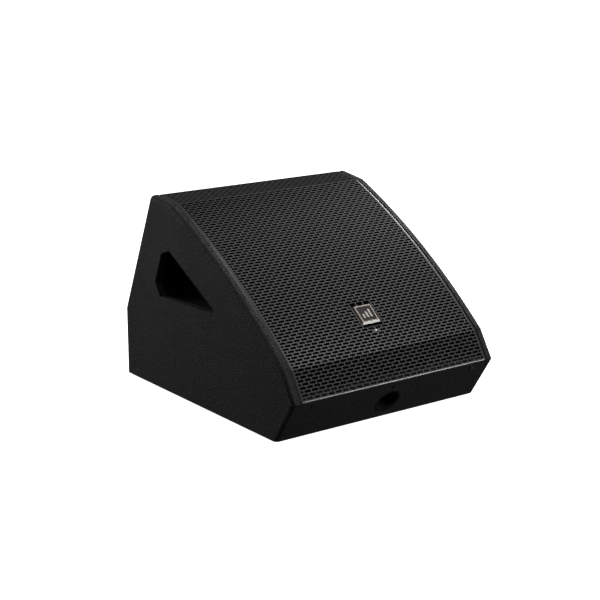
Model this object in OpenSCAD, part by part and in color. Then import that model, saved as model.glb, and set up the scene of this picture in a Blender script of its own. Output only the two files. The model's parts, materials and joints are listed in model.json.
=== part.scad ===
// Stage monitor wedge: plywood cabinet, folded steel grille, coaxial driver and rear amplifier.
// Millimetres. X across, Y from the listener to the back, Z up. Origin: centre of the footprint, on the floor.

/* [Cabinet] */
// Overall width, outside the side panels
body_w = 400; // [380:1:460]
// Length of the cabinet's underside, front to back
floor_len = 433.2; // [425:0.1:445]
// Height of the upright lower back
back_rise = 115.5; // [100:0.5:125]
// Tilt of the loudspeaker face above the floor
tilt = 33.03; // [31:0.01:35]
// Length of the loudspeaker face, nose to top edge
face_len = 464; // [455:1:470]
// Length of the undercut front, floor to nose
undercut_len = 83.3; // [80:0.1:88]
// Thickness of each side panel with its coating
side_t = 13; // [12:0.5:15]
// Thickness of the other panels
wall_t = 15; // [12:0.5:16]

/* [Grille] */
// Run of the folded facets at both ends of the grille, along the face
facet_run = 48; // [40:1:56]
// Height of those facets above the face
facet_rise = 22.5; // [18:0.5:26]
// Radius of the long curve between the facets
curve_r = 1191.8; // [900:1:1600]
// Thickness of the steel sheet
sheet_t = 1.5; // [1:0.1:2]
// Length of the return flanges that are screwed to the cabinet
flange_len = 23; // [20:1:26]
// Thickness of the acoustic foam behind the sheet
foam_t = 5; // [3:1:6]

/* [Badge and light] */
// Side of the badge across its face
badge_w = 33; // [28:1:36]
// Distance of the badge below the grille's top fold, along the curve
badge_s = 299.7; // [280:0.1:305]
// Distance of the status light below the same fold
light_s = 333; // [328:0.5:340]

/* [Stand socket and feet] */
// Bore of the stand socket, for a 35 mm pole
pole_bore_d = 36; // [35.5:0.1:37]
// Depth of the stand socket
pole_depth = 80; // [60:1:82]
// Height of the socket's axis on the undercut front
pole_v = 36.5; // [34:0.5:38]
// Height of the rubber feet
foot_h = 4; // [3:0.5:8]
// Diameter of the rubber feet
foot_d = 28; // [20:1:34]

/* [Handle] */
// Depth of the handle pocket below the cabinet's side
handle_depth = 50; // [40:1:51]
// Wall of the moulded handle pocket
handle_wall = 3; // [2:0.5:3]

/* [Driver] */
// Outside diameter of the woofer frame
frame_d = 310; // [306:1:314]
// Diameter of the voice coil, measured on its former
coil_d = 63.4; // [62:0.1:64]
// Outside diameter of the magnet
magnet_d = 176; // [160:1:180]

/* [Amplifier] */
// Width of the amplifier plate
amp_w = 273; // [266:1:278]
// Height of the amplifier plate along the sloping back
amp_h = 152; // [148:1:156]
// Depth of the recess that the plate sits in
amp_recess = 8; // [6:0.5:9]
// Thickness of the amplifier plate
plate_t = 2.5; // [2:0.5:3]
// Diameter of the level knobs
knob_d = 17; // [14:1:20]

/* [Hidden] */
fit = 0.3;
in_w = body_w - 2 * side_t;

// Outline corners as [y, z] from the bottom front corner, and as [u, v] along and out of the face
function turn(p) = [p.x * cos(tilt) - p.y * sin(tilt), p.x * sin(tilt) + p.y * cos(tilt)];
nose_uv = [0, undercut_len];
crest_uv = [face_len, undercut_len];
fold_uv = [facet_run, undercut_len + facet_rise];
top_fold_uv = [face_len - facet_run, undercut_len + facet_rise];
front_foot = [0, 0];
back_foot = [floor_len, 0];
back_kink = [floor_len, back_rise];
crest = turn(crest_uv);
nose = turn(nose_uv);
mid_y = (floor_len + nose.x) / 2;
back_slope = atan2(crest.y - back_kink.y, crest.x - back_kink.x);

// The long curve: its centre and half angle
mid_u = face_len / 2;
curve_half = asin((mid_u - facet_run) / curve_r);
curve_v = fold_uv.y - curve_r * cos(curve_half);
curve_steps = 36;

// Plane of the baffle's front, and the driver's centre on it
baffle_v = undercut_len - 2;
baffle_end = crest_uv.x - 0.4;

// Handle opening, as [y, z] corners and the radius of each
handle_pts = [[163, 160.5], [327, 153.5], [344, 180], [321, 235.5], [293, 246], [163, 171.5]];
handle_r = [4, 5, 7, 7, 7, 4];

// Amplifier plate: its centre line runs this far below the crest along the back
amp_mid = 47 + amp_h / 2;
plate_out = -amp_recess + plate_t;
plate_in = -amp_recess;
insert_z = plate_out - 1;

// Screw places
grille_screw_x = [-158.4, 0, 158.4];
grille_screw_in = 12.8;
pole_out_r = pole_bore_d / 2 + 2.5;
pole_lip_r = 23.5;
pole_lip_t = 3;
port_x = 150;
port_u = 82;
port_r = 25.5;
foot_x = 155;
foot_y = [48, floor_len - 42];
woofer_screws_n = 8;
woofer_screw_r = frame_d / 2 - 5;

// Leads inside the cabinet, as [x, along, out] of the driver: terminals to circuit board, and light to board
speaker_lead_pts = [[6, 108.6, -75], [6, 122, -75], [14, 140, -92], [28, 156, -95], [40, 166.6, -86.4],
                    [40, 176.4, -88]];
light_lead_pts = [[0, -146.7, 21], [2, -149, 16], [22, -164, 12], [34, -168, 4], [34, -168, -20], [42, -164, -60],
                  [66, -146, -92], [100, -110, -108], [124, -60, -114], [130, 0, -116], [124, 60, -114],
                  [106, 120, -108], [78, 152, -96], [70, 165.3, -94.3], [70, 175.1, -96]];

// Places on the amplifier plate, as [x, distance below the crest]
jack_at = [[98, 78], [62, 78]];
link_at = [26, 78];
plug_bore_r = 3.25;
shell_bore_r = 9.9;
knob_at = [[98, 112], [62, 112]];
button_at = [[98, 134], [62, 134], [26, 112]];
light_at = [[0, 104], [0, 112], [0, 120]];
inlet_at = [-80, 80];
rocker_at = [-80, 122];

// ---- outline helpers ----

function unit(d) = d / norm(d);
function side_of(a, b) = let (d = unit(b - a)) [d.y, -d.x];
function cross2(a, b) = a.x * b.y - a.y * b.x;
// Where the line through p along d meets the line through q along e
function meet(p, d, q, e) = p + d * (cross2(q - p, e) / cross2(d, e));
// A counter-clockwise outline with each side moved outwards by its own distance
function grown(pts, out) = let (n = len(pts)) [
  for (i = [0 : n - 1])
    let (a = pts[(i + n - 1) % n], b = pts[i], c = pts[(i + 1) % n])
    meet(b + side_of(a, b) * out[(i + n - 1) % n], b - a, b + side_of(b, c) * out[i], c - b)
];
function same(n, value) = [for (i = [1 : n]) value];
// The same outline with its corners rounded
function rounded(pts, r, steps = 8) = let (n = len(pts)) [
  for (i = [0 : n - 1])
    let (
      b = pts[i],
      to_a = unit(pts[(i + n - 1) % n] - b),
      to_c = unit(pts[(i + 1) % n] - b),
      half = acos(to_a * to_c) / 2,
      centre = b + unit(to_a + to_c) * r[i] / sin(half),
      start = atan2(-side_of(pts[(i + n - 1) % n], b).y, -side_of(pts[(i + n - 1) % n], b).x) + 180,
      sweep = 180 - 2 * half
    )
    for (k = [0 : steps])
      centre + r[i] * [cos(start + sweep * k / steps), sin(start + sweep * k / steps)]
];

// The grille's line as [u, v], moved in by a depth, from the nose to the crest
function curve_pt(phi, depth) =
  [mid_u + (curve_r - depth) * sin(phi), curve_v + (curve_r - depth) * cos(phi)];
lower_dir = unit(fold_uv - nose_uv);
upper_dir = unit(crest_uv - top_fold_uv);
lower_in = [lower_dir.y, -lower_dir.x];
upper_in = [upper_dir.y, -upper_dir.x];
function fold_pt(phi, corner, dir, inward, depth) =
  let (tangent = [cos(phi), -sin(phi)], normal = [-sin(phi), -cos(phi)])
  meet(corner + normal * depth, tangent, corner + inward * depth, dir);
function face_line(depth, trim) = concat(
  [meet(nose_uv + lower_dir * trim, lower_in, nose_uv + lower_in * depth, lower_dir)],
  [fold_pt(-curve_half, fold_uv, lower_dir, lower_in, depth)],
  [for (k = [1 : curve_steps - 1]) curve_pt(-curve_half + 2 * curve_half * k / curve_steps, depth)],
  [fold_pt(curve_half, top_fold_uv, upper_dir, upper_in, depth)],
  [meet(crest_uv - upper_dir * trim, upper_in, crest_uv + upper_in * depth, upper_dir)]
);
function reversed(list) = [for (i = [len(list) - 1 : -1 : 0]) list[i]];
// Direction of the sloping back, down from the crest, in [u, v]
back_dir = let (d = unit(back_kink - crest))
  [d.x * cos(tilt) + d.y * sin(tilt), -d.x * sin(tilt) + d.y * cos(tilt)];
back_in = [back_dir.y, -back_dir.x];
// The whole sheet's line, flange to flange
function sheet_line(depth) = let (
    face = face_line(depth, 0),
    last = len(face) - 1
  ) concat(
    [[depth, undercut_len - flange_len], meet([depth, 0], [0, 1], face[0], lower_dir)],
    [for (i = [1 : last - 1]) face[i]],
    [meet(crest_uv + back_in * depth, back_dir, face[last], upper_dir),
     crest_uv + back_dir * flange_len + back_in * depth]
  );

// Frames: the cabinet's bottom front corner, the loudspeaker face, the driver and the sloping back
module cabinet_frame() { translate([0, -mid_y, foot_h]) children(); }
module face_frame() { cabinet_frame() rotate([tilt, 0, 0]) children(); }
module driver_frame() { face_frame() translate([0, mid_u, baffle_v]) children(); }
module back_frame() {
  cabinet_frame() translate([0, crest.x, crest.y]) rotate([back_slope - 180, 0, 0]) children();
}
module curve_frame(s) {
  face_frame() translate([0, mid_u, curve_v]) rotate([s / curve_r * 180 / PI - curve_half, 0, 0])
    translate([0, 0, curve_r]) children();
}
// A profile drawn in [y, z] and stretched across X
module across(w, x = 0) {
  translate([x - w / 2, 0, 0]) rotate([90, 0, 90]) linear_extrude(w) children();
}
module block(x, y, z) { translate([x[0], y[0], z[0]]) cube([x[1] - x[0], y[1] - y[0], z[1] - z[0]]); }
module ring(ro, ri, z0, z1, fn = 96) {
  translate([0, 0, z0]) difference() {
    cylinder(h = z1 - z0, r = ro, $fn = fn);
    translate([0, 0, -1]) cylinder(h = z1 - z0 + 2, r = ri, $fn = fn);
  }
}
module rod(r, z0, z1, fn = 48) { translate([0, 0, z0]) cylinder(h = z1 - z0, r = r, $fn = fn); }
// A screw with its head's underside at the origin, pointing down
module screw(head_r, head_h, shank_r, shank_l) {
  difference() {
    union() {
      rod(head_r, 0, head_h, 32);
      rod(shank_r, -shank_l, 0, 24);
    }
    translate([0, 0, head_h - head_h / 2]) cylinder(h = head_h, r = head_r * 0.45, $fn = 6);
  }
}

// ---- cabinet ----

// The five panels between the sides meet at mitred corners
shell = [front_foot, back_foot, back_kink, turn([baffle_end, baffle_v]), turn([0, baffle_v])];
shell_in = grown(shell, same(5, -wall_t));
module panel(i) {
  j = (i + 1) % 5;
  color("#1b1b1b") cabinet_frame() across(in_w) polygon([shell[i], shell[j], shell_in[j], shell_in[i]]);
}
side_outline = concat(
  [front_foot, back_foot, back_kink, crest],
  [for (k = [curve_steps : -1 : 0]) turn(curve_pt(-curve_half + 2 * curve_half * k / curve_steps, 0))],
  [nose]
);
module handle_shape(out) {
  polygon(rounded(grown(handle_pts, same(len(handle_pts), out)), [for (r = handle_r) r + out]));
}
module side_panel(dir) {
  color("#222222") cabinet_frame() difference() {
    across(side_t, dir * (body_w - side_t) / 2) polygon(side_outline);
    across(side_t + 2, dir * (body_w - side_t) / 2) handle_shape(0);
  }
}
module side_panel_left() { side_panel(-1); }
module side_panel_right() { side_panel(1); }
module bottom_panel() {
  difference() {
    panel(0);
    cabinet_frame() for (x = [-foot_x, foot_x], y = foot_y) translate([x, y, 0]) rod(1.6, -1, 9);
  }
}
module back_lower_panel() { panel(1); }
module back_upper_panel() {
  difference() {
    panel(2);
    back_frame() {
      block([-amp_w / 2 - fit, amp_w / 2 + fit],
            [amp_mid - amp_h / 2 - fit, amp_mid + amp_h / 2 + fit], [-amp_recess, 2]);
      block([-amp_w / 2 + 11, amp_w / 2 - 11],
            [amp_mid - amp_h / 2 + 11, amp_mid + amp_h / 2 - 11], [-wall_t - 5, 2]);
      amp_screw_places() rod(2.05, -amp_recess - 6, 0, 24);
    }
    grille_fixings();
  }
}
// Rebates under the grille's return flanges, and the pilot holes of their screws
module grille_fixings() {
  back_frame() {
    block([-in_w, in_w], [-5, flange_len + fit], [-sheet_t, 5]);
    for (x = grille_screw_x) translate([x, grille_screw_in, 0]) rod(1.85, -12, 1);
  }
  face_frame() {
    block([-in_w, in_w], [-2, sheet_t], [undercut_len - flange_len - fit, undercut_len + 5]);
    for (x = grille_screw_x) translate([x, 0, undercut_len - grille_screw_in]) rotate([-90, 0, 0])
      rod(1.85, -1, 12);
  }
}
module baffle() {
  difference() {
    panel(3);
    driver_frame() {
      rod(frame_d / 2 - 12, -wall_t - 1, 1, 120);
      port_places() rod(port_r + 2.7, -wall_t - 1, 1);
      for (i = [0 : woofer_screws_n - 1]) rotate((i + 0.5) * 360 / woofer_screws_n)
        translate([woofer_screw_r, 0, 0]) rod(2.2, -12.5, 1);
      light_lead_place() rod(3, -wall_t - 1, 1);
    }
    grille_fixings();
  }
}
module undercut_panel() {
  difference() {
    panel(4);
    face_frame() pole_place() {
      rod(pole_out_r + 0.2, -1, wall_t + 1);
      rod(pole_lip_r + 0.2, -1, pole_lip_t);
    }
    grille_fixings();
  }
}
module port_places() {
  for (x = [-port_x, port_x]) translate([x, port_u - mid_u, 0]) children();
}
module light_lead_place() { translate([light_lead_pts[3].x, light_lead_pts[3].y, 0]) children(); }
module port_tubes() {
  color("#161616") driver_frame() port_places() {
    ring(port_r + 2.5, port_r, -85, 3, 64);
    ring(port_r + 7, port_r, 0, 3, 64);
  }
}
module damping_pads() {
  color("#3a3a3a") cabinet_frame() {
    block([-120, 120], [floor_len - wall_t - 18, floor_len - wall_t], [20, 96]);
    for (side = [-1, 1]) block([side * (in_w / 2) - 8 - side * 8, side * (in_w / 2) + 8 - side * 8],
                               [250, 390], [20, 130]);
  }
}
module handle_cup(dir) {
  color("#0c0c0c") cabinet_frame() {
    wall_in = body_w / 2 - handle_depth;
    difference() {
      union() {
        across(3, dir * (in_w / 2 - 1.5)) handle_shape(11);
        across(in_w / 2 - wall_in + handle_wall, dir * (in_w / 2 + wall_in - handle_wall) / 2)
          handle_shape(handle_wall);
      }
      across(in_w / 2 - wall_in + 1, dir * (in_w / 2 + wall_in + 1) / 2) handle_shape(0);
    }
  }
}
module handle_cup_left() { handle_cup(-1); }
module handle_cup_right() { handle_cup(1); }

// ---- grille, badge and status light ----

pan = [45, 46, 4];
module grille() {
  color("#4a4a4a") {
    difference() {
      face_frame() across(in_w - 2 * fit) polygon(concat(sheet_line(0), reversed(sheet_line(sheet_t))));
      curve_frame(badge_s)
        cube([pan.x - 2 * sheet_t, pan.y - 2 * sheet_t, 12], center = true);
      curve_frame(light_s) rod(2.6, -5, 5, 32);
      face_frame() for (x = grille_screw_x) translate([x, 0, undercut_len - grille_screw_in])
        rotate([-90, 0, 0]) rod(2.2, -2, 4);
      back_frame() for (x = grille_screw_x) translate([x, grille_screw_in, 0]) rod(2.2, -4, 2);
    }
    curve_frame(badge_s) difference() {
      translate([0, 0, -pan.z / 2 - 0.5]) cube([pan.x, pan.y, pan.z - 0.5], center = true);
      cube([pan.x - 2 * sheet_t, pan.y - 2 * sheet_t, 2 * (pan.z - sheet_t)], center = true);
    }
  }
}
module grille_foam() {
  color("#101010") difference() {
    face_frame() across(in_w - 14)
      polygon(concat(face_line(sheet_t, 14), reversed(face_line(sheet_t + foam_t, 14))));
    curve_frame(badge_s) cube([pan.x + 4, pan.y + 4, 30], center = true);
    curve_frame(light_s) cube([26, 18, 30], center = true);
  }
}
module grille_screws() {
  color("#8a8a8a") {
    face_frame() for (x = grille_screw_x) translate([x, 0, undercut_len - grille_screw_in])
      rotate([90, 0, 0]) screw(4, 1.6, 1.8, 11.5);
    back_frame() for (x = grille_screw_x) translate([x, grille_screw_in, 0]) screw(4, 1.6, 1.8, 11.5);
  }
}
badge_top = 2.5;
badge_floor = -pan.z + sheet_t;
module badge_frame() {
  color("#d0d2d4") curve_frame(badge_s) difference() {
    translate([0, 0, badge_floor]) linear_extrude(badge_top - badge_floor, scale = badge_w / (badge_w + 2.4))
      square(badge_w + 2.4, center = true);
    translate([0, 0, badge_top]) cube([badge_w - 5.6, badge_w - 5.6, 3], center = true);
  }
}
module badge_plate() {
  color("#201a17") curve_frame(badge_s) {
    translate([0, 0, badge_top - 1]) cube([badge_w - 5.8, badge_w - 5.8, 1], center = true);
    for (i = [-1 : 1]) translate([i * 6, -3.5 + abs(i) * -1.5, badge_top - 0.3])
      cube([3, 11 - abs(i) * 3, 0.6], center = true);
  }
}
module status_light() {
  color("#f4f6ff") curve_frame(light_s) {
    rod(2.4, -7, 0.4, 32);
    ring(4, 2.2, -6, -sheet_t - 0.2, 32);
  }
}
module status_light_board() {
  color("#1d4a2a") curve_frame(light_s) translate([0, 0, -7.8]) cube([20, 12, 1.6], center = true);
}

// ---- stand socket and feet ----

module pole_place() { translate([0, 0, pole_v]) rotate([-90, 0, 0]) children(); }
module pole_socket() {
  color("#0e0e0e") face_frame() pole_place() difference() {
    union() {
      rod(pole_lip_r, 0, pole_lip_t, 96);
      rod(pole_out_r, 0, pole_depth + 4, 96);
    }
    rod(pole_bore_d / 2, -1, pole_depth, 96);
    translate([0, 0, -0.01]) cylinder(h = 2.5, r1 = pole_bore_d / 2 + 2, r2 = pole_bore_d / 2, $fn = 96);
  }
}
module pole_socket_ring() {
  color("#2c2c2c") face_frame() pole_place()
    ring(pole_out_r + 4.5, pole_out_r + 0.05, wall_t, wall_t + 6);
}
module foot_places() { cabinet_frame() for (x = [-foot_x, foot_x], y = foot_y) translate([x, y, 0]) children(); }
module rubber_feet() {
  color("#141414") foot_places() difference() {
    rod(foot_d / 2, -foot_h, 0);
    rod(4.4, -foot_h - 1, -foot_h + 2);
    rod(1.9, -foot_h - 1, 1);
  }
}
module foot_screws() {
  color("#9a9a9a") foot_places() {
    rod(4.2, -foot_h + 0.8, -foot_h + 2, 32);
    rod(1.6, -foot_h + 2, 8.5, 24);
  }
}

// ---- coaxial driver, about its own axis, z = 0 on the baffle's front ----

coil_r = coil_d / 2;
frame_r = frame_d / 2;
spider_z = -66;
base_z = -80;
magnet_z = base_z - 8;
back_z = magnet_z - 18;
hf_z = back_z - 8;
neck_z = -58;
edge_z = 3;
module turned(pts, fn = 96) { rotate_extrude($fn = fn) polygon(pts); }
module basket() {
  color("#2a2b2d") driver_frame() difference() {
    turned([
      [frame_r, 4], [frame_r - 17, 4], [frame_r - 17, -5], [103, -64], [103, spider_z], [86, spider_z],
      [86, -69], [94, -69], [94, -77], [45, -77], [45, base_z], [98, base_z], [98, -70], [106, -67],
      [frame_r - 14, -6], [frame_r - 14, 0], [frame_r, 0]
    ]);
    for (i = [0 : 7]) rotate(i * 45) translate([90, -30, -50]) cube([60, 60, 40]);
    for (i = [0 : woofer_screws_n - 1]) rotate((i + 0.5) * 360 / woofer_screws_n)
      translate([woofer_screw_r, 0, 0]) rod(2.4, -1, 5, 24);
  }
}
module woofer_gasket() {
  color("#151515") driver_frame() ring(frame_r - 10, frame_r - 13, 5.2, 7.2);
}
module woofer_screws() {
  color("#3c3c3c") driver_frame() for (i = [0 : woofer_screws_n - 1])
    rotate((i + 0.5) * 360 / woofer_screws_n) translate([woofer_screw_r, 0, 4]) screw(3.8, 3, 2.2, 16.4);
}
roll_r = 134;
module surround() {
  color("#202020") driver_frame() turned(concat(
    [[118, edge_z], [118, edge_z + 1.2], [roll_r - 7.5, edge_z + 1.2]],
    [for (k = [1 : 11]) [roll_r - 7.5 * cos(k * 15), 5.2 + 7.5 * sin(k * 15)]],
    [[roll_r + 7.5, 5.2], [frame_r - 10, 5.2], [frame_r - 10, 4], [roll_r + 6.3, 4]],
    [for (k = [11 : -1 : 1]) [roll_r - 6.3 * cos(k * 15), 4 + 6.3 * sin(k * 15)]],
    [[roll_r - 6.3, edge_z]]
  ));
}
module cone() {
  color("#1c1c1e") driver_frame() turned([
    [coil_r + 1.5, neck_z], [118, edge_z - 2.4], [127, edge_z - 1.2], [127, edge_z],
    [117.5, edge_z], [coil_r + 1.5, neck_z + 1.8]
  ]);
}
module voice_coil() {
  color("#b87333") driver_frame() ring(coil_r + 1.5, coil_r, -93, neck_z + 1);
}
module spider() {
  color("#c9b06a") driver_frame() ring(98, coil_r + 1.5, spider_z, spider_z + 1.2);
}
module top_plate() { color("#8d9094") driver_frame() ring(82, coil_r + 2.4, magnet_z, base_z); }
module magnet() { color("#4b4c50") driver_frame() ring(magnet_d / 2, 45, back_z, magnet_z); }
module back_plate() {
  color("#8d9094") driver_frame() difference() {
    union() {
      rod(82, hf_z, back_z, 96);
      rod(coil_r - 0.8, hf_z, base_z, 96);
    }
    rod(20, hf_z - 1, base_z + 1, 64);
  }
}
module hf_horn() {
  color("#141416") driver_frame() turned([
    [12.5, hf_z], [19.8, hf_z], [19.8, -76], [26, -58], [31, -47], [42, -34], [62, -17], [66, -17], [66, -14],
    [58, -15], [40, -30], [28, -45], [22, -58], [16, -78]
  ]);
}
module hf_body() {
  color("#26272a") driver_frame() difference() {
    rod(45, hf_z - 36, hf_z, 96);
    rod(12.5, hf_z - 15, hf_z + 1, 64);
    rod(34, hf_z - 37, hf_z - 14, 96);
  }
}
module hf_diaphragm() {
  color("#b9bcc4") driver_frame() translate([0, 0, hf_z - 16]) turned(concat(
    [for (k = [0 : 10]) [22 * sin(k * 9), -2 - 8 * cos(k * 9)]],
    [[22, 0.4], [21.4, 0.4], [21.4, -2]],
    [for (k = [9 : -1 : 0]) [21.4 * sin(k * 9), -2 - 7.4 * cos(k * 9)]]
  ), 64);
}
module hf_rim() {
  color("#d8c890") driver_frame() ring(33.95, 22, hf_z - 17.4, hf_z - 17, 64);
}
module hf_cover() {
  color("#1c1c1e") driver_frame() {
    rod(45, hf_z - 40, hf_z - 36, 96);
  }
}
module terminal_block() {
  color("#7a1a16") driver_frame() difference() {
    block([-14, 14], [92, 108.6], [-79, -71]);
    rod(98, -90, -60, 96);
  }
}

// A tube swept along points, with a ring of sides at every point
function tube_ring(p, along, r, sides) = let (
    side = unit(cross(along, abs(along.x) < 0.9 ? [1, 0, 0] : [0, 1, 0])),
    up = cross(side, along)
  ) [for (k = [0 : sides - 1]) p + r * (side * cos(k * 360 / sides) + up * sin(k * 360 / sides))];
module tube(path, r, sides = 8) {
  n = len(path);
  rings = [for (i = [0 : n - 1])
    tube_ring(path[i], unit(path[min(i + 1, n - 1)] - path[max(i - 1, 0)]), r, sides)];
  polyhedron(
    points = [for (one = rings) for (p = one) p],
    faces = concat(
      [[for (k = [0 : sides - 1]) k]],
      [[for (k = [sides - 1 : -1 : 0]) (n - 1) * sides + k]],
      [for (i = [0 : n - 2]) for (k = [0 : sides - 1])
        [i * sides + k, (i + 1) * sides + k, (i + 1) * sides + (k + 1) % sides, i * sides + (k + 1) % sides]]
    )
  );
}
// A smooth line through hand-placed points
function spline(p, i, t) = let (
    a = p[max(i - 1, 0)], b = p[i], c = p[i + 1], d = p[min(i + 2, len(p) - 1)]
  ) 0.5 * ((2 * b) + (c - a) * t + (2 * a - 5 * b + 4 * c - d) * t * t + (3 * b - a - 3 * c + d) * t * t * t);
function smooth(p, steps) = concat(
  [for (i = [0 : len(p) - 2]) for (k = [0 : steps - 1]) spline(p, i, k / steps)], [p[len(p) - 1]]);
module inner_leads() {
  color("#a01818") driver_frame() {
    tube(smooth(speaker_lead_pts, 5), 2.2);
    tube(smooth(light_lead_pts, 3), 1.5);
  }
}

// ---- amplifier, on the sloping back: x, y down the slope, z out ----

module amp_plate() {
  color("#262626") back_frame() difference() {
    union() {
      block([-amp_w / 2, amp_w / 2], [amp_mid - amp_h / 2, amp_mid + amp_h / 2], [plate_in, plate_out]);
      for (x = [-112, 112], y = [amp_mid - 55, amp_mid + 55]) translate([x, y, 0]) rod(3.5, -38, plate_in + 0.5, 24);
    }
    for (p = concat(jack_at, [link_at])) translate([p.x, p.y, 0]) rod(12, -12, 0);
    for (p = jack_at) translate([p.x, p.y - 12, 0]) cube([9, 6, 30], center = true);
    for (p = knob_at) translate([p.x, p.y, 0]) rod(3.6, -12, 0);
    for (p = button_at) translate([p.x, p.y, 0]) rod(3.6, -12, 0);
    for (p = light_at) translate([p.x, p.y, 0]) rod(1.6, -12, 0, 24);
    translate([inlet_at.x, inlet_at.y, 0]) cube([46, 26, 30], center = true);
    translate([rocker_at.x, rocker_at.y, 0]) cube([28.4, 20.4, 30], center = true);
    amp_screw_places() rod(2.3, -12, 0, 24);
  }
}
module amp_screw_places() {
  for (x = [-amp_w / 2 + 5.5, 0, amp_w / 2 - 5.5], y = [amp_mid - amp_h / 2 + 5.5, amp_mid + amp_h / 2 - 5.5])
    translate([x, y, 0]) children();
  for (x = [-amp_w / 2 + 5.5, amp_w / 2 - 5.5]) translate([x, amp_mid, 0]) children();
}
module amp_screws() {
  color("#9a9a9a") back_frame() amp_screw_places() translate([0, 0, plate_out]) screw(3.8, 2, 2, 8);
}
fin_n = 24;
module heatsink() {
  color("#1a1a1a") back_frame() {
    block([-118, 118], [amp_mid + 27, amp_mid + 64], [plate_out, plate_out + 2]);
    for (i = [0 : fin_n - 1])
      block([-117 + i * 10, -115 + i * 10], [amp_mid + 27, amp_mid + 64], [plate_out + 1, plate_out + 9]);
  }
}
module circuit_board() {
  color("#1d4a2a") back_frame() block([-118, 118], [amp_mid - 60, amp_mid + 60], [-39.6, -38]);
}
module power_supply() {
  color("#b8a04c") back_frame() {
    block([-104, -40], [amp_mid - 36, amp_mid + 20], [-72, -39.6]);
    block([-24, 4], [amp_mid - 30, amp_mid - 6], [-62, -39.6]);
  }
}
module capacitors() {
  color("#2b3a66") back_frame() for (x = [-22, 6], y = [amp_mid + 14, amp_mid + 42]) translate([x, y, 0])
    rod(11, -74, -39.6, 48);
}
module input_sockets() {
  color("#161616") back_frame() for (p = jack_at) translate([p.x, p.y, 0]) {
    difference() {
      union() {
        block([-13, 13], [-17.5, 15.5], [plate_out, plate_out + 1.6]);
        rod(11.8, -36, plate_out + 1, 64);
        block([-6.5, 6.5], [-16.5, -5], [-24, plate_in]);
      }
      rod(shell_bore_r, -24, 2, 64);
      rod(plug_bore_r, -34, 0, 64);
      translate([0, -13, -10]) cube([7.4, 4.4, 24], center = true);
    }
    difference() {
      rod(8.1, -24.5, insert_z, 64);
      rod(plug_bore_r, -34, 0, 64);
      for (a = [-30, 90, 210]) rotate(a) translate([5.8, 0, 0]) rod(1.3, -22, 0, 24);
    }
  }
}
module socket_tab(p) {
  color("#c0c2c6") back_frame() translate([p.x, p.y - 13, 0]) {
    block([-3.2, 3.2], [-1.7, 1.7], [-17, plate_out + 4.4]);
  }
}
module socket_tab_a() { socket_tab(jack_at[0]); }
module socket_tab_b() { socket_tab(jack_at[1]); }
module link_socket() {
  color("#161616") back_frame() translate([link_at.x, link_at.y, 0]) {
    difference() {
      union() {
        block([-13, 13], [-15.5, 15.5], [plate_out, plate_out + 1.6]);
        rod(11.8, -30, plate_out + 1, 64);
      }
      rod(8.4, -20, 2, 64);
    }
    for (a = [-30, 90, 210]) rotate(a) translate([4.9, 0, 0]) rod(1.2, -21, insert_z, 24);
  }
}
knob_foot = plate_out + 0.6;
module level_knob(p) {
  color("#1a1a1a") back_frame() translate([p.x, p.y, 0]) difference() {
    union() {
      translate([0, 0, knob_foot]) cylinder(h = 11, r1 = knob_d / 2, r2 = knob_d / 2 - 1, $fn = 64);
      rod(3, -16, knob_foot + 1, 48);
    }
    translate([0, -knob_d / 4, knob_foot + 11]) cube([1.2, knob_d / 2, 1.2], center = true);
  }
}
module level_knob_a() { level_knob(knob_at[0]); }
module level_knob_b() { level_knob(knob_at[1]); }
module level_pots() {
  color("#55585c") back_frame() for (p = knob_at) translate([p.x, p.y, 0]) difference() {
    union() {
      block([-8, 8], [-8, 8], [-18, plate_in - 1.5]);
      rod(3.5, plate_in - 2, plate_out - 0.5, 32);
    }
    rod(3.06, -16.3, 2, 48);
  }
}
module push_button(p) {
  color("#2a2a2a") back_frame() translate([p.x, p.y, 0]) {
    rod(3, plate_in - 3, plate_out + 4.5, 48);
    rod(1.6, plate_in - 9, plate_in - 3, 24);
  }
}
module button_a() { push_button(button_at[0]); }
module button_b() { push_button(button_at[1]); }
module lift_button() { push_button(button_at[2]); }
module button_switches() {
  color("#44474c") back_frame() for (p = button_at) translate([p.x, p.y, 0]) difference() {
    block([-5, 5], [-5, 5], [-22, plate_in]);
    rod(3.4, -16, 2, 48);
    rod(2, -21, 2, 24);
  }
}
module indicator_lights() {
  color("#5ad06a") back_frame() for (p = light_at) translate([p.x, p.y, 0]) {
    rod(1.5, -12, plate_out + 0.6, 24);
    rod(2.3, -14, -11, 24);
  }
}
module mains_inlet() {
  color("#121212") back_frame() translate([inlet_at.x, inlet_at.y, 0]) difference() {
    union() {
      block([-26, 26], [-15, 15], [plate_out, plate_out + 2]);
      block([-22.5, 22.5], [-12.5, 12.5], [-34, plate_out + 1]);
    }
    block([-12.2, 12.2], [-8.3, 8.3], [-21, 3]);
  }
  color("#b9a77a") back_frame() translate([inlet_at.x, inlet_at.y, 0])
    for (b = [[-7, -2], [7, -2], [0, 2]]) block([b.x - 1, b.x + 1], [b.y - 2, b.y + 2], [-22, insert_z]);
}
rocker_axis_z = plate_out - 3;
module rocker_housing() {
  color("#141414") back_frame() translate([rocker_at.x, rocker_at.y, 0]) difference() {
    union() {
      block([-16, 16], [-12, 12], [plate_out, plate_out + 1.5]);
      block([-14, 14], [-10, 10], [-26, plate_out + 0.5]);
    }
    block([-10, 10], [-8.6, 8.6], [rocker_axis_z - 5, 3]);
  }
}
module power_rocker() {
  color("#1a1a1a") back_frame() translate([rocker_at.x, rocker_at.y, rocker_axis_z]) {
    rotate([10, 0, 0]) block([-9.6, 9.6], [-7.4, 7.4], [0, 5.2]);
    rotate([0, 90, 0]) translate([0, 0, -9.6]) cylinder(h = 19.2, r = 2.4, $fn = 48);
  }
}

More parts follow.
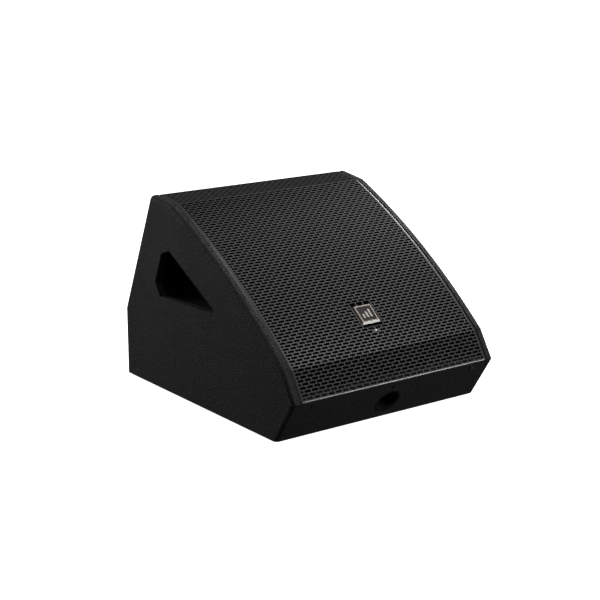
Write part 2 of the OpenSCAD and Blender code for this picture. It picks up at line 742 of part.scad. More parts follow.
side_panel_left();
side_panel_right();
bottom_panel();
back_lower_panel();
back_upper_panel();
baffle();
undercut_panel();
handle_cup_left();
handle_cup_right();
port_tubes();
damping_pads();
grille();
grille_foam();
grille_screws();
badge_frame();
badge_plate();
status_light();
status_light_board();
pole_socket();
pole_socket_ring();
rubber_feet();
foot_screws();
basket();
woofer_gasket();
woofer_screws();
surround();
cone();
spider();
voice_coil();
top_plate();
magnet();
back_plate();
hf_horn();
hf_body();
hf_diaphragm();
hf_rim();
hf_cover();
terminal_block();
inner_leads();
amp_plate();
amp_screws();
heatsink();
circuit_board();
power_supply();
capacitors();
input_sockets();
socket_tab_a();
socket_tab_b();
link_socket();
level_knob_a();
level_knob_b();
level_pots();
button_a();
button_b();
lift_button();
button_switches();
indicator_lights();
mains_inlet();
rocker_housing();
power_rocker();
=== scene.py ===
"""Stage monitor wedge: rounded coated cabinet, slotted grille, badge, stand socket and rear panel."""
import json
import math
import bmesh
import bpy
from mathutils import Matrix, Vector


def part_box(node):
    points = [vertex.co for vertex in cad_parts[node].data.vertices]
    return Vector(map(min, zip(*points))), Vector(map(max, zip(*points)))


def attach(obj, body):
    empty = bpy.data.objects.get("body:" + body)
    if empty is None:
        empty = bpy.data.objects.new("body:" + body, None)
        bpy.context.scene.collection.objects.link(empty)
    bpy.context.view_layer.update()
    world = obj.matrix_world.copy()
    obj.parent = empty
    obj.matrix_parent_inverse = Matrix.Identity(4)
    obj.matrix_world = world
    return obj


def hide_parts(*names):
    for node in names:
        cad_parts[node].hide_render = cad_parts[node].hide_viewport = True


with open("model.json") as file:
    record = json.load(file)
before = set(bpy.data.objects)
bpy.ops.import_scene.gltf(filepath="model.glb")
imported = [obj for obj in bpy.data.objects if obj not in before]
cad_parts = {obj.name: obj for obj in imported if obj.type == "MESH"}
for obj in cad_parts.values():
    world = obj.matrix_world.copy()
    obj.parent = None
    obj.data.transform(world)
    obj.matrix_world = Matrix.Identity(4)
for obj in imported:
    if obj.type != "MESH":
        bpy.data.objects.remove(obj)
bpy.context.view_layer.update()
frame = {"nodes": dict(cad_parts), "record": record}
scene = bpy.context.scene
scene.view_settings.view_transform = "Standard"

# ---- sizes, in millimetres ----

TO_METRES = 0.001
# Thickness of the plywood sides, of the plywood between them, and of the punched sheet
SIDE_T = 13
WALL_T = 15
SHEET_T = 1.5
# Length of the tilted face, and how far the undercut panel sets it off the bottom front corner
FACE_LEN = 464
UNDERCUT = 83.3
# The flat facet at each end of the curved face: along it and out of it
FACET_RUN = 48
FACET_RISE = 22.5
CURVE_R = 1191.8
# How far the sheet is folded over onto the back and the undercut panel
FLANGE = 23
# Centres of the badge and of the status light, down the curve from its top fold
BADGE_S = 299.7
LIGHT_S = 333
# Corners of the hand opening, back and up from the bottom front corner, and their radii
HANDLE = ((163, 160.5), (327, 153.5), (344, 180), (321, 235.5), (293, 246), (163, 171.5))
HANDLE_R = (4, 5, 7, 7, 7, 4)


def mm_box(node):
    """Lowest and highest corner of a CAD node, in millimetres."""
    low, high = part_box(node)
    return Vector(low) * 1000, Vector(high) * 1000


# The bottom front corner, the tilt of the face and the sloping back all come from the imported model
BODY_W = -2 * mm_box("side_panel_left")[0].x
floor_low, floor_high = mm_box("bottom_panel")
IN_W = BODY_W - 2 * SIDE_T
FOOT = Vector((0, floor_low.y, floor_low.z))
BACK_Y = floor_high.y - floor_low.y
BACK_RISE = mm_box("back_lower_panel")[1].z - FOOT.z
pole = next(m for m in frame["record"]["mounts"] if m["name"] == "pole_socket")
TILT = math.atan2(-pole["axis"][2], -pole["axis"][1])


def turned_point(u, v):
    """From along and out of the face to back and up, both from the bottom front corner."""
    return (u * math.cos(TILT) - v * math.sin(TILT), u * math.sin(TILT) + v * math.cos(TILT))


CREST = turned_point(FACE_LEN, UNDERCUT)
BACK_SLOPE = math.atan2(CREST[1] - BACK_RISE, CREST[0] - BACK_Y)
CABINET = Matrix.Translation(FOOT)
FACE = CABINET @ Matrix.Rotation(TILT, 4, "X")
BACK = CABINET @ Matrix.Translation((0, *CREST)) @ Matrix.Rotation(BACK_SLOPE - math.pi, 4, "X")
MID_U = FACE_LEN / 2
CURVE_HALF = math.asin((MID_U - FACET_RUN) / CURVE_R)
CURVE_V = UNDERCUT + FACET_RISE - CURVE_R * math.cos(CURVE_HALF)
CURVE_LEN = 2 * CURVE_HALF * CURVE_R
FACET_LEN = math.hypot(FACET_RUN, FACET_RISE)


def on_curve(s):
    """Frame on the long curve, s below its top fold: x across, y up the slope, z out."""
    lean = Matrix.Rotation(s / CURVE_R - CURVE_HALF, 4, "X")
    return FACE @ Matrix.Translation((0, MID_U, CURVE_V)) @ lean @ Matrix.Translation((0, 0, CURVE_R))


# ---- camera ----

LENS = 90.33
SENSOR = 36
EYE = (-1.4342, -1.9208, 0.788)
EYE_TURN = math.radians(-36.536)
EYE_LIFT = math.radians(14.859)


def facing(place, back):
    """Stands a camera or a light at a place, with its back towards a direction."""
    return Matrix.Translation(place) @ back.to_track_quat("Z", "Y").to_matrix().to_4x4()


camera = bpy.data.objects.new("camera", bpy.data.cameras.new("camera"))
scene.collection.objects.link(camera)
camera.data.lens = LENS
camera.data.sensor_width = SENSOR
backwards = Vector((math.sin(EYE_TURN) * math.cos(EYE_LIFT), -math.cos(EYE_TURN) * math.cos(EYE_LIFT),
                    math.sin(EYE_LIFT)))
camera.matrix_world = facing(EYE, backwards)
scene.camera = camera

# ---- materials ----


def tint(code, alpha=1.0):
    """sRGB hex to linear colour."""
    channels = [int(code[i:i + 2], 16) / 255 for i in (1, 3, 5)]
    return [c / 12.92 if c <= 0.04045 else ((c + 0.055) / 1.055) ** 2.4 for c in channels] + [alpha]


def node(material, kind, inputs=None, **settings):
    """Adds a shader node to a material or the world: an input takes a value or another node's socket."""
    made = material.node_tree.nodes.new("ShaderNode" + kind)
    for name, value in settings.items():
        setattr(made, name, value)
    for name, value in (inputs or {}).items():
        if isinstance(value, bpy.types.NodeSocket):
            material.node_tree.links.new(value, made.inputs[name])
        else:
            made.inputs[name].default_value = value
    return made


def surface(name, colour, roughness, **shader):
    """A new material with its main shader: returns both."""
    material = bpy.data.materials.new(name)
    material.use_nodes = True
    main = material.node_tree.nodes["Principled BSDF"]
    main.inputs["Base Color"].default_value = tint(colour)
    main.inputs["Roughness"].default_value = roughness
    for label, value in shader.items():
        main.inputs[label.replace("_", " ")].default_value = value
    return material, main


def spots(material, grain, kind="TexNoise", **settings):
    """A 3-D pattern on the object's own coordinates whose grain is a real size in millimetres."""
    coords = node(material, "TexCoord").outputs["Object"]
    inputs = {"Vector": coords, "Scale": 1 / (grain * TO_METRES)}
    inputs.update(settings.pop("inputs", {}))
    return node(material, kind, inputs, **settings)


def blend_colour(material, main, factor, dark, light, low=0.3, high=0.7):
    """Colour that runs from dark to light as the factor goes from low to high."""
    ramp = node(material, "ValToRGB", {"Fac": factor})
    ramp.color_ramp.elements[0].position, ramp.color_ramp.elements[0].color = low, tint(dark)
    ramp.color_ramp.elements[1].position, ramp.color_ramp.elements[1].color = high, tint(light)
    material.node_tree.links.new(ramp.outputs["Color"], main.inputs["Base Color"])


def vary(material, main, socket, factor, low, high):
    """Drives one of the shader's sockets between two values."""
    spread = node(material, "MapRange", {"Value": factor, "To Min": low, "To Max": high})
    material.node_tree.links.new(spread.outputs["Result"], main.inputs[socket])


def relief(material, main, heights):
    """Stacks bump patterns, each (height socket, depth in millimetres, strength)."""
    normal = None
    for height, depth, strength in heights:
        inputs = {"Height": height, "Distance": depth * TO_METRES, "Strength": strength}
        if normal:
            inputs["Normal"] = normal
        normal = node(material, "Bump", inputs).outputs["Normal"]
    material.node_tree.links.new(normal, main.inputs["Normal"])


def textured_coating():
    """Sprayed polyurea on birch plywood: hard, half matt black that breaks the light up into soft specks.
    Its pebbles are really 1 mm apart, and are drawn 2.6 mm apart so that they show."""
    material, main = surface("textured_polyurea_coating", "#111112", 0.6, Specular_IOR_Level=0.16)
    pebbles = spots(material, 2.6, "TexVoronoi", feature="SMOOTH_F1", inputs={"Smoothness": 0.6})
    grit = spots(material, 1.6, inputs={"Detail": 3.0, "Roughness": 0.6})
    cloudy = spots(material, 60, inputs={"Detail": 2.0})
    blend_colour(material, main, grit.outputs["Fac"], "#040405", "#252526", 0.38, 0.62)
    vary(material, main, "Roughness", cloudy.outputs["Fac"], 0.56, 0.7)
    relief(material, main, [(pebbles.outputs["Distance"], 1.2, 1.0), (grit.outputs["Fac"], 1.2, 1.0)])
    return material


def powder_coat(name, colour, roughness):
    """Baked powder coat on steel: an even half gloss with a faint orange peel."""
    material, main = surface(name, colour, roughness, Specular_IOR_Level=0.4)
    peel = spots(material, 0.9, inputs={"Detail": 1.0})
    cloudy = spots(material, 45, inputs={"Detail": 2.0})
    vary(material, main, "Roughness", cloudy.outputs["Fac"], roughness - 0.05, roughness + 0.05)
    relief(material, main, [(peel.outputs["Fac"], 0.08, 0.5)])
    return material


def foam_with_painted_shade():
    """Reticulated polyurethane foam: black pores 1 mm wide, no gloss; its black is darkened past the foam's own
    colour with painted shade, so openings over it look empty.
    """
    material, main = surface("reticulated_foam_painted_shade", "#020202", 1.0, Specular_IOR_Level=0.02)
    pores = spots(material, 1.1, "TexVoronoi", feature="F1")
    blend_colour(material, main, pores.outputs["Distance"], "#000000", "#060606")
    relief(material, main, [(pores.outputs["Distance"], 0.8, 0.9)])
    return material


def felt():
    """Bonded polyester wadding: grey fibres about 2 mm long."""
    material, main = surface("polyester_felt", "#3a3a3c", 0.95, Specular_IOR_Level=0.1)
    fibres = spots(material, 2.0, inputs={"Detail": 6.0, "Roughness": 0.7})
    blend_colour(material, main, fibres.outputs["Fac"], "#262628", "#4c4c50")
    relief(material, main, [(fibres.outputs["Fac"], 0.6, 0.8)])
    return material


def moulded_plastic(name, colour, roughness=0.48, grain=0.45, gloss=0.45):
    """Injection moulded plastic: one even colour, its shine broken by a spark-eroded texture."""
    material, main = surface(name, colour, roughness, Specular_IOR_Level=gloss)
    texture = spots(material, grain, inputs={"Detail": 3.0})
    vary(material, main, "Roughness", texture.outputs["Fac"], roughness - 0.06, roughness + 0.06)
    relief(material, main, [(texture.outputs["Fac"], 0.06, 0.5)])
    return material


def bare_metal(name, colour, roughness, stretch=(1, 1, 1), grain=0.6):
    """Plated or ground metal: mirrors its surroundings, blurred along its marks, which stretch draws out."""
    material, main = surface(name, colour, roughness, Metallic=1.0)
    coords = node(material, "TexCoord").outputs["Object"]
    drawn = node(material, "Mapping", {"Vector": coords, "Scale": stretch})
    marks = node(material, "TexNoise", {"Vector": drawn.outputs["Vector"], "Scale": 1 / (grain * TO_METRES),
                                        "Detail": 3.0})
    vary(material, main, "Roughness", marks.outputs["Fac"], roughness * 0.7, roughness * 1.35)
    relief(material, main, [(marks.outputs["Fac"], 0.02, 0.35)])
    return material


def rubber():
    """Moulded natural rubber: deep black, dusty at the surface."""
    material, main = surface("moulded_rubber", "#101010", 0.8, Specular_IOR_Level=0.3)
    dust = spots(material, 3.0, inputs={"Detail": 5.0})
    blend_colour(material, main, dust.outputs["Fac"], "#0d0d0d", "#191919")
    relief(material, main, [(dust.outputs["Fac"], 0.1, 0.3)])
    return material


def woven_cloth(name, dark, light, pitch):
    """Cloth stiffened with resin: crossing threads at the given pitch."""
    material, main = surface(name, light, 0.8)
    coords = node(material, "TexCoord").outputs["Object"]
    size = 2 * math.pi / (pitch * TO_METRES) / 20
    warp = node(material, "TexWave", {"Vector": coords, "Scale": size}, bands_direction="X")
    weft = node(material, "TexWave", {"Vector": coords, "Scale": size}, bands_direction="Y")
    cross = node(material, "Math", {0: warp.outputs["Fac"], 1: weft.outputs["Fac"]}, operation="MAXIMUM")
    blend_colour(material, main, cross.outputs["Value"], dark, light, 0.2, 0.9)
    relief(material, main, [(cross.outputs["Value"], 0.15, 0.6)])
    return material


def glow(name, colour, strength):
    """A lit light pipe: clear acrylic with a lamp behind it."""
    material, main = surface(name, colour, 0.25)
    main.inputs["Emission Color"].default_value = tint(colour)
    main.inputs["Emission Strength"].default_value = strength
    return material


def circuit_laminate():
    """Green solder mask over copper tracks that run on a 2.5 mm grid."""
    material, main = surface("solder_mask", "#0f3d22", 0.35)
    tracks = spots(material, 2.5, "TexBrick", inputs={"Color1": tint("#0c3a1f"), "Color2": tint("#11502c"),
                                                    "Mortar": tint("#2a7a45"), "Mortar Size": 0.03})
    material.node_tree.links.new(tracks.outputs["Color"], main.inputs["Base Color"])
    relief(material, main, [(tracks.outputs["Fac"], 0.05, 0.6)])
    return material


COAT = textured_coating()
# Thin black coat on the punched sheet: half gloss, so that folds and edges catch a bright line
GRILLE = powder_coat("grille_powder_coat", "#151516", 0.33)
# Thicker, duller coat on the amplifier's plate and heatsink
AMP_COAT = powder_coat("panel_powder_coat", "#19191a", 0.5)
# Foam black past its own colour: painted shade for the grille's slots
FOAM_PAINTED_SHADE = foam_with_painted_shade()
# General black mouldings: ABS out of a textured mould, a dull black
PLASTIC = moulded_plastic("black_abs", "#121213")
# Buttons and light pipe: ABS out of a polished mould, with small sharp highlights
GLOSS = moulded_plastic("polished_black_abs", "#0d0d0e", 0.22, 2.0)
# Badge lip: chrome on a zinc casting, a bright bar even in low light
CHROME = bare_metal("chromed_zinc", "#4a4a48", 0.3, (1, 6, 1))
# Badge bezel: brushed and tinted nickel, a warm grey
DARK_NICKEL = bare_metal("brushed_dark_nickel", "#8a827c", 0.4, (1, 6, 1))
# Badge plate: smoked acrylic, brownish black
BADGE_BLACK = moulded_plastic("smoked_acrylic", "#1d1613", 0.5, 3.0, 0.2)
# Level bars, pointers and panel print: screen-printed enamel, a warm pale grey
ENAMEL = moulded_plastic("warm_grey_enamel", "#a8a49c", 0.35, 2.0)
RUBBER = rubber()
# Hand cups, ports and stand socket: deeply textured black ABS, its colour darkened past the plastic's own black
# as painted shade inside these hollows
CUP_PAINTED_SHADE = moulded_plastic("textured_abs_cup_painted_shade", "#030303", 0.9, 1.0, 0.12)
FELT = felt()
# Screws, tabs and pots: bright zinc plate with a bluish cast
ZINC = bare_metal("zinc_plated_steel", "#b9bcc0", 0.34)
# Grille and driver screws: black oxide, only their edges glint
BLACK_STEEL = bare_metal("black_oxide_steel", "#58585c", 0.3)
# Magnet plates: brushed steel, its highlight broken by long fine marks
STEEL = bare_metal("brushed_steel", "#9da0a4", 0.3, (1, 8, 8))
# Mains blades: nickel on brass, a pale gold
BRASS = bare_metal("nickel_plated_brass", "#c9b98a", 0.25)
# Driver basket: painted die casting, rough and dark
CAST = moulded_plastic("coated_die_casting", "#1b1c1e", 0.55, 1.2)
# Magnet: ground ferrite, a dull graphite grey
FERRITE = bare_metal("ground_ferrite", "#3b3c40", 0.5)
# High-frequency diaphragm: rolled titanium foil, a smooth grey
TITANIUM = bare_metal("titanium_foil", "#a8a9b0", 0.3)
# Voice coil: lacquered copper wire, its turns seen as fine rings
COPPER = bare_metal("lacquered_copper", "#b5692f", 0.35, (1, 1, 12))
# Cone: pressed paper pulp, matt, with the print of the mesh it was formed on
PAPER = woven_cloth("pressed_paper_pulp", "#0f0f10", "#1d1d1e", 1.4)
# Surround: cotton doped with resin, matt black
SURROUND = woven_cloth("doped_cotton", "#0c0c0c", "#191919", 0.9)
# Spider: cotton stiffened with phenolic resin, amber
PHENOLIC = woven_cloth("phenolic_cotton", "#8d6f33", "#c9a557", 0.8)
LAMINATE = circuit_laminate()
# Transformer: glossy yellow polyester tape
TAPE = moulded_plastic("yellow_polyester_tape", "#b9a044", 0.4, 4.0)
# Capacitors: shrunk blue sleeve, glossy
SLEEVE = moulded_plastic("blue_shrink_sleeve", "#27386a", 0.3, 3.0)
# Terminal block and leads: dyed nylon, dull red
RED = moulded_plastic("red_nylon", "#8c1c16", 0.4)
# Status light and the amplifier's indicators: acrylic lit from behind
WHITE_GLOW = glow("white_light_pipe", "#f1f1ee", 0.6)
GREEN_GLOW = glow("green_light_pipe", "#3fd35c", 1.2)

# ---- making pieces ----


def new_piece(name, bm, material, place=Matrix.Identity(4), body="cabinet", replaces=(), sharp=35):
    """Turns a bmesh in millimetres into a piece that rides on a CAD body; edges over sharp degrees stay crisp."""
    bmesh.ops.transform(bm, matrix=Matrix.Scale(TO_METRES, 4) @ place, verts=bm.verts)
    if place.determinant() < 0:
        bmesh.ops.reverse_faces(bm, faces=bm.faces)
    limit = math.radians(sharp)
    for edge in bm.edges:
        edge.smooth = len(edge.link_faces) == 2 and edge.calc_face_angle(0) < limit
    for face in bm.faces:
        face.smooth = True
    mesh = bpy.data.meshes.new(name)
    bm.to_mesh(mesh)
    bm.free()
    obj = bpy.data.objects.new(name, mesh)
    scene.collection.objects.link(obj)
    mesh.materials.append(material)
    even = obj.modifiers.new("even", "WEIGHTED_NORMAL")
    even.keep_sharp = True
    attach(obj, body)
    if replaces:
        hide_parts(*replaces)
    return obj


def tidy(bm):
    """Merges doubles and points every face outwards."""
    bmesh.ops.remove_doubles(bm, verts=bm.verts, dist=0.001)
    bmesh.ops.recalc_face_normals(bm, faces=bm.faces)
    return bm


def bevelled(bm, edges, radius, segments=3):
    bmesh.ops.bevel(bm, geom=list(edges), offset=radius, segments=segments, profile=0.5, affect="EDGES",
                    material=-1, clamp_overlap=True)
    return bm


def joined(*parts):
    """One bmesh that holds several, each already in place."""
    whole = bmesh.new()
    for part in parts:
        mesh = bpy.data.meshes.new("part")
        part.to_mesh(mesh)
        part.free()
        whole.from_mesh(mesh)
        bpy.data.meshes.remove(mesh)
    return whole


def moved(bm, *steps):
    for step in steps:
        bmesh.ops.transform(bm, matrix=step, verts=bm.verts)
    return bm


def at(x, y, z=0):
    return Matrix.Translation((x, y, z))


def drawn(points, plane=lambda p: (0, p[0], p[1])):
    """A flat face with the given outline, in the cabinet's side plane unless told otherwise."""
    bm = bmesh.new()
    bmesh.ops.contextual_create(bm, geom=[bm.verts.new(plane(p)) for p in points])
    return bm


def stretched(bm, by):
    """Pulls every face of a flat bmesh along a vector into a closed solid."""
    grown = bmesh.ops.extrude_face_region(bm, geom=list(bm.faces), use_keep_orig=True)
    bmesh.ops.translate(bm, vec=by, verts=[v for v in grown["geom"] if isinstance(v, bmesh.types.BMVert)])
    return tidy(bm)


def slab(points, x0, x1):
    """An outline in the side plane, stretched across from x0 to x1."""
    return stretched(moved(drawn(points), at(x0, 0)), (x1 - x0, 0, 0))


def block(size, radius=0.0, segments=2):
    """A box from its three [low, high] pairs, with rounded edges."""
    bm = bmesh.new()
    bmesh.ops.create_cube(bm, size=1)
    centre = [(low + high) / 2 for low, high in size]
    moved(bm, Matrix.Diagonal([high - low for low, high in size] + [1]), at(*centre))
    if radius:
        bevelled(bm, bm.edges, radius, segments)
    return bm


def rod(radius, low, high, sides=32, top=None):
    """A round bar along z."""
    bm = bmesh.new()
    bmesh.ops.create_cone(bm, cap_ends=True, segments=sides, radius1=radius, radius2=top or radius,
                          depth=high - low)
    return moved(bm, at(0, 0, (low + high) / 2))


def lathed(profile, sides=48):
    """A closed [radius, z] profile turned round z."""
    bm = drawn(profile, plane=lambda p: (p[0], 0, p[1]))
    edges = list(bm.edges)
    bmesh.ops.delete(bm, geom=list(bm.faces), context="FACES_ONLY")
    bmesh.ops.spin(bm, geom=edges + list(bm.verts), cent=(0, 0, 0), axis=(0, 0, 1), angle=2 * math.pi,
                   steps=sides, use_merge=True)
    return tidy(bm)


def carved(body, *cutters):
    """The first bmesh with the others cut out of it."""
    objs = []
    for bm in (body, joined(*cutters)):
        mesh = bpy.data.meshes.new("carving")
        bm.to_mesh(mesh)
        bm.free()
        objs.append(bpy.data.objects.new("carving", mesh))
        scene.collection.objects.link(objs[-1])
    cut = objs[0].modifiers.new("cut", "BOOLEAN")
    cut.object, cut.operation, cut.solver, cut.use_self = objs[1], "DIFFERENCE", "EXACT", True
    result = bmesh.new()
    result.from_object(objs[0], bpy.context.evaluated_depsgraph_get())
    for obj in objs:
        mesh = obj.data
        bpy.data.objects.remove(obj)
        bpy.data.meshes.remove(mesh)
    return result


def rounded(points, radii, steps=4):
    """An outline with its corners rounded: each corner keeps its place in the list."""
    out = []
    for i, corner in enumerate(points):
        here = Vector(corner)
        before = (Vector(points[i - 1]) - here).normalized()
        after = (Vector(points[(i + 1) % len(points)]) - here).normalized()
        half = before.angle(after) / 2
        reach = radii[i] / math.tan(half)
        start, end = here + before * reach, here + after * reach
        centre = here + (before + after).normalized() * radii[i] / math.sin(half)
        for k in range(steps + 1):
            spoke = (start - centre).slerp(end - centre, k / steps) if radii[i] else Vector((0, 0))
            out.append(tuple(centre + spoke))
    return out


# ---- cabinet ----

# Roundovers of the outer edge: beside the grille, elsewhere, and round the hand opening
EDGE_R = 6.5
BACK_R = 2.5
HANDLE_EDGE_R = 1.6
# Back and up ranges that hold the hand opening's edges and no others
HANDLE_ZONE = ((150, 350), (145, 250))
CURVE_STEPS = 36
nose = turned_point(0, UNDERCUT)
arc = [turned_point(MID_U + CURVE_R * math.sin(a), CURVE_V + CURVE_R * math.cos(a))
       for a in [CURVE_HALF * (1 - 2 * k / CURVE_STEPS) for k in range(CURVE_STEPS + 1)]]
corners = [(0, 0), (BACK_Y, 0), (BACK_Y, BACK_RISE), CREST]


def in_face(point):
    """Along and out of the face, from back and up."""
    y, z = point
    return y * math.cos(TILT) + z * math.sin(TILT), z * math.cos(TILT) - y * math.sin(TILT)


def by_handle(v):
    """Whether a vertex lies in the zone round the hand opening."""
    (near, far), (low, high) = HANDLE_ZONE
    return near < v.co.y < far and low < v.co.z < high


def side_panel(name, side):
    """Plywood side with a wide roundover where it frames the grille, and a hand opening."""
    outer, inner = side * BODY_W / 2, side * (BODY_W / 2 - SIDE_T)
    bm = slab(corners + arc + [nose], inner, outer)

    def lies_out(edge):
        return all(abs(v.co.x - outer) < 0.01 for v in edge.verts)

    def frames_grille(edge):
        return all(u < 0.1 or v > UNDERCUT - 0.1 for u, v in [in_face(p.co.yz) for p in edge.verts])

    bevelled(bm, [e for e in bm.edges if lies_out(e) and frames_grille(e)], EDGE_R, 6)
    bevelled(bm, [e for e in bm.edges if lies_out(e) and not frames_grille(e) and e.calc_face_angle(0) > 0.5],
             BACK_R, 3)
    bm = carved(bm, slab(rounded(HANDLE, HANDLE_R, 6), min(outer, inner) - 5, max(outer, inner) + 5))
    sharp = [e for e in bm.edges if lies_out(e) and e.calc_face_angle(0) > 0.8]
    bevelled(bm, [e for e in sharp if all(by_handle(v) for v in e.verts)], HANDLE_EDGE_R, 3)
    return new_piece(name + "_board", bm, COAT, CABINET, replaces=[name], sharp=40)


side_panel("side_panel_left", -1)
side_panel("side_panel_right", 1)

# ---- grille ----

# Rows of slots: on the curve, and on each of the two facets beyond its folds
CURVE_ROWS = 67
FACET_ROWS = 9
# Plain strips above and below the top fold
ABOVE_FOLD = 0.25
BELOW_FOLD = 1
PITCH_X = 13.4
HALF_X = PITCH_X / 2
PITCH_S = (CURVE_LEN - BELOW_FOLD) / CURVE_ROWS
SLOT_L = 11.8
SHORT_L = 5
SLOT_W = 4.2
ACROSS = 27
# Rows that the badge's recess cuts into, and the row with the status light's hole
BADGE_ROWS = range(50, 59)
LIGHT_ROW = 60
LIGHT_HOLE = 5.2
# The recess: half its width, half its floor's width, the floor's ends down the curve, its depth
RECESS_X = 1.5 * PITCH_X
FLOOR_X = 19
FLOOR_S = (281.5, 322)
RECESS_DEEP = 4
# Where the sheet is folded, measured down the curve from its top fold, and the radius of each fold
FOLDS = ((-FACET_LEN, 1.2), (0, 0.6), (CURVE_LEN, 0.6), (CURVE_LEN + FACET_LEN, 2.4))
# The sheet's side edges stop short of the cabinet's sides and roll inwards at this radius
EDGE_GAP = 0.3
EDGE_ROLL = 12
MID_S = CURVE_LEN / 2
row_starts = ([-ABOVE_FOLD - PITCH_S * (FACET_ROWS - k) for k in range(FACET_ROWS)]
              + [BELOW_FOLD + PITCH_S * k for k in range(CURVE_ROWS)]
              + [CURVE_LEN + PITCH_S * k for k in range(FACET_ROWS)])
row_numbers = range(-FACET_ROWS, CURVE_ROWS + FACET_ROWS)
back_along = Vector((BACK_Y - CREST[0], BACK_RISE - CREST[1])).normalized()


def row_start(number):
    """Upper edge of a row, down the curve from its top fold."""
    return row_starts[number + FACET_ROWS]


def on_sheet(s):
    """Back and up of a point on the grille's outside, s below the top fold."""
    if s > CURVE_LEN + FACET_LEN:
        return Vector(nose) - Vector(nose).normalized() * (s - CURVE_LEN - FACET_LEN)
    if s > CURVE_LEN:
        return Vector(arc[-1]).lerp(Vector(nose), (s - CURVE_LEN) / FACET_LEN)
    if s >= 0:
        a = CURVE_HALF - s / CURVE_R
        return Vector(turned_point(MID_U + CURVE_R * math.sin(a), CURVE_V + CURVE_R * math.cos(a)))
    if s > -FACET_LEN:
        return Vector(arc[0]).lerp(Vector(CREST), -s / FACET_LEN)
    return Vector(CREST) + back_along * (-s - FACET_LEN)


def wrapped(bm):
    """Bends a flat pattern, x across, y down the slope and z out, onto the outside of the grille."""
    for v in bm.verts:
        along = (on_sheet(v.co.y + 0.01) - on_sheet(v.co.y - 0.01)).normalized()
        v.co = (v.co.x, *(on_sheet(v.co.y) + Vector((along.y, -along.x)) * v.co.z))
    return bm


def stadium(bm, length, width, sides=10):
    """Adds a round-ended slot outline."""
    ring = bmesh.ops.create_circle(bm, cap_ends=False, segments=sides, radius=width / 2)["verts"]
    level = max(v.co.y for v in ring)
    for v in ring:
        v.co.y *= width / 2 / level
        v.co.x += math.copysign((length - width) / 2, v.co.x)


def tile(width, slot, high=SLOT_W):
    """One tile of the punched pattern, with a vertex wherever a neighbour has its corner."""
    bm = bmesh.new()
    xs = [-width / 2, 0, width / 2] if width > HALF_X + 1 else [-width / 2, width / 2]
    points = [(x, -PITCH_S / 2, 0) for x in xs] + [(x, PITCH_S / 2, 0) for x in xs[::-1]]
    border = [bm.verts.new(point) for point in points]
    for i, v in enumerate(border):
        bm.edges.new((border[i - 1], v))
    stadium(bm, slot, high)
    bmesh.ops.triangle_fill(bm, edges=list(bm.edges), use_beauty=True, use_dissolve=False)
    return bm


def grille_row(number):
    """One row of slots; every other row is set over by half a slot, with short slots where it is cut off."""
    odd = number % 2
    tiles = []
    for i in range(ACROSS - odd):
        x = (i - (ACROSS - 1 - odd) / 2) * PITCH_X
        beside_badge = number in BADGE_ROWS and abs(x) < RECESS_X + 1
        if beside_badge and abs(x) < RECESS_X - 1:
            continue
        if beside_badge:
            tiles.append(moved(tile(HALF_X, SHORT_L), at(x + math.copysign(HALF_X / 2, x), 0)))
            continue
        slot = LIGHT_HOLE if number == LIGHT_ROW and abs(x) < 1 else SLOT_L
        tiles.append(moved(tile(PITCH_X, slot, LIGHT_HOLE if slot == LIGHT_HOLE else SLOT_W), at(x, 0)))
    if odd:
        tiles += [moved(tile(HALF_X, SHORT_L), at(side * (ACROSS - 0.5) * HALF_X, 0)) for side in (-1, 1)]
    return joined(*tiles)


def grille_face():
    """The flat pattern: punched rows, plain margins and folded flanges."""
    edge_x = IN_W / 2 - EDGE_GAP
    half = ACROSS * HALF_X
    flat = joined(*[moved(grille_row(n), at(0, s + PITCH_S / 2)) for n, s in zip(row_numbers, row_starts)])
    above_fold, last_end = row_start(-1) + PITCH_S, row_starts[-1] + PITCH_S
    stops = sorted(set([0] + [round(s, 5) for s in [*row_starts, above_fold, last_end, CURVE_LEN]]))
    upper_end = [-FACET_LEN - FLANGE, -FACET_LEN, stops[0]]
    lower_end = [stops[-1], CURVE_LEN + FACET_LEN, CURVE_LEN + FACET_LEN + FLANGE]
    rolled = [half + (edge_x - half) * k / 5 for k in range(1, 6)]
    columns = [-x for x in rolled[::-1]] + [(i - ACROSS) * HALF_X for i in range(2 * ACROSS + 1)] + rolled
    for lines in (upper_end, lower_end, [above_fold, 0, BELOW_FOLD]):
        grid(flat, columns, lines)
    for side in (-1, 1):
        grid(flat, sorted(side * x for x in [half] + rolled), stops)
    for v in flat.verts:
        over = abs(v.co.x) - half
        if over > 0.01 and abs(v.co.y - MID_S) < MID_S + FACET_LEN + 0.01:
            v.co.z = math.sqrt(max(EDGE_ROLL ** 2 - over ** 2, 1)) - EDGE_ROLL
    return flat


def grid(bm, xs, ys):
    """Adds a flat grid of faces between the given lines."""
    points = [[bm.verts.new((x, y, 0)) for x in xs] for y in ys]
    for j in range(len(ys) - 1):
        for i in range(len(xs) - 1):
            bm.faces.new((points[j][i], points[j][i + 1], points[j + 1][i + 1], points[j + 1][i]))


def grille():
    """Punched steel sheet folded round the cabinet's front, pressed in under the badge."""
    flat = grille_face()
    bmesh.ops.remove_doubles(flat, verts=flat.verts, dist=0.01)
    folds = [([e for e in flat.edges if all(abs(v.co.y - s) < 0.01 for v in e.verts)], r) for s, r in FOLDS]
    wrapped(flat)
    bmesh.ops.recalc_face_normals(flat, faces=flat.faces)
    if sum(f.normal.z * f.calc_area() for f in flat.faces) < 0:
        bmesh.ops.reverse_faces(flat, faces=flat.faces)
    for edges, radius in folds:
        bevelled(flat, [e for e in edges if e.is_valid], radius, 3)
    sheet = new_piece("punched_grille", flat, GRILLE, CABINET, replaces=["grille"],
                      sharp=50)
    thick = sheet.modifiers.new("sheet", "SOLIDIFY")
    thick.thickness, thick.offset = SHEET_T * TO_METRES, -1
    sheet.modifiers.move(1, 0)


grille()

